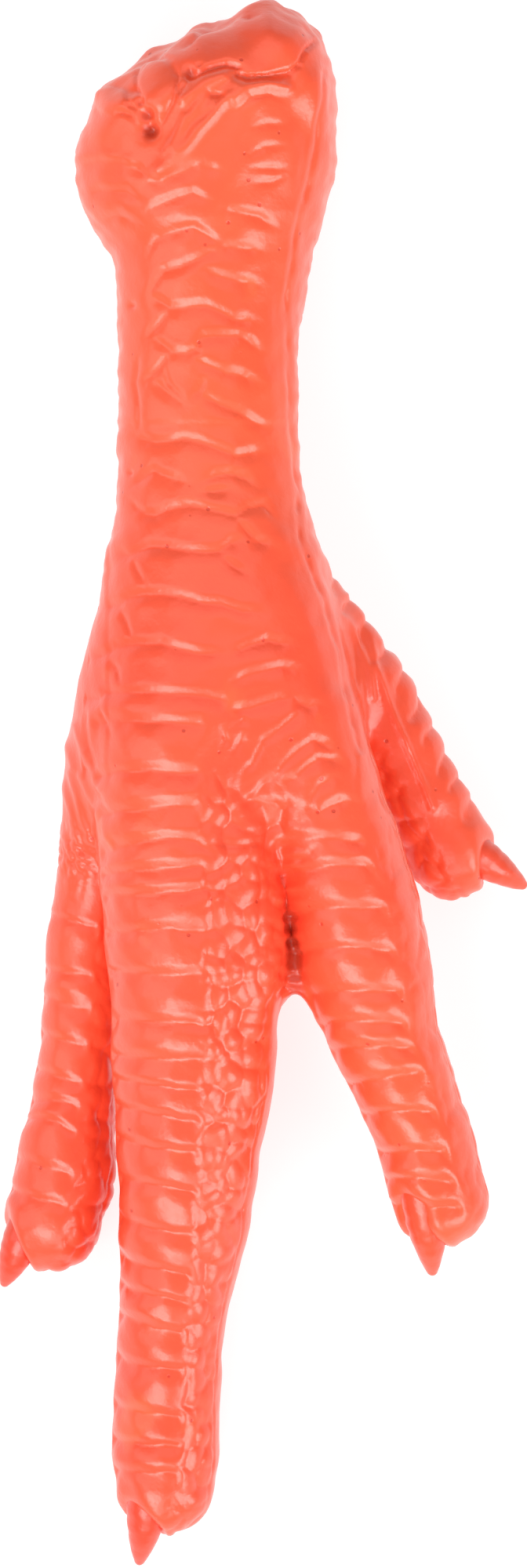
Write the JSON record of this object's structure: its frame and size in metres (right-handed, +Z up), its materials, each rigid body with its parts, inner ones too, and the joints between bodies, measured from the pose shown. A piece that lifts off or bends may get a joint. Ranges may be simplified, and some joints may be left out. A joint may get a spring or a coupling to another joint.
{
  "type": "toy chicken foot",
  "caption": "Hollow moulded rubber chicken foot: knobbly hock, scaly shank, palm, three front toes and a hind toe with claws, and a squeaker plugged into the end of the hock.",
  "frame": {"origin": "centre of the foot's bounding box in X and Y, on the table it lies on in Z", "axes": "+Z up from the table, out of the front of the foot as it lies; +Y along the leg from the claws towards the hock; +X towards the side of the hind toe"},
  "size_m": [0.0773, 0.2308, 0.0383],
  "materials": {
    "skin": "soft semi-gloss",
    "claw": "soft semi-gloss",
    "squeaker": "satin",
    "reed": "satin"
  },
  "bodies": {
    "leg": {"leg_skin": "skin", "squeaker_barrel": "squeaker", "squeaker_cap": "squeaker", "reed_holder": "squeaker", "reed_wedge": "squeaker", "reed": "reed"},
    "middle": {"middle_toe": "skin", "middle_claw": "claw"},
    "inner": {"inner_toe": "skin", "inner_claw": "claw"},
    "outer": {"outer_toe": "skin", "outer_claw": "claw"},
    "hind": {"hind_toe": "skin", "hind_claw": "claw"}
  },
  "joints": [
    {"name": "middle_toe_bend", "type": "hinge", "parent": "leg", "child": "middle", "pos_m": [-0.0103, -0.033, 0.0234], "axis": [0.93, 0, 0.3676], "range_deg": [-18, 18], "stiffness_Nm_per_rad": 0.6},
    {"name": "inner_toe_bend", "type": "hinge", "parent": "leg", "child": "inner", "pos_m": [0.0166, -0.033, 0.022], "axis": [0.9295, 0.1999, 0.3098], "range_deg": [-16, 16], "stiffness_Nm_per_rad": 0.4},
    {"name": "outer_toe_bend", "type": "hinge", "parent": "leg", "child": "outer", "pos_m": [-0.0269, -0.016, 0.0126], "axis": [0.93, 0, 0.3676], "range_deg": [-15, 15], "stiffness_Nm_per_rad": 0.3},
    {"name": "hind_toe_bend", "type": "hinge", "parent": "leg", "child": "hind", "pos_m": [0.0229, -0.0004, 0.0096], "axis": [0.8638, 0.5039, 0], "range_deg": [-15, 15], "stiffness_Nm_per_rad": 0.3}
  ]
}
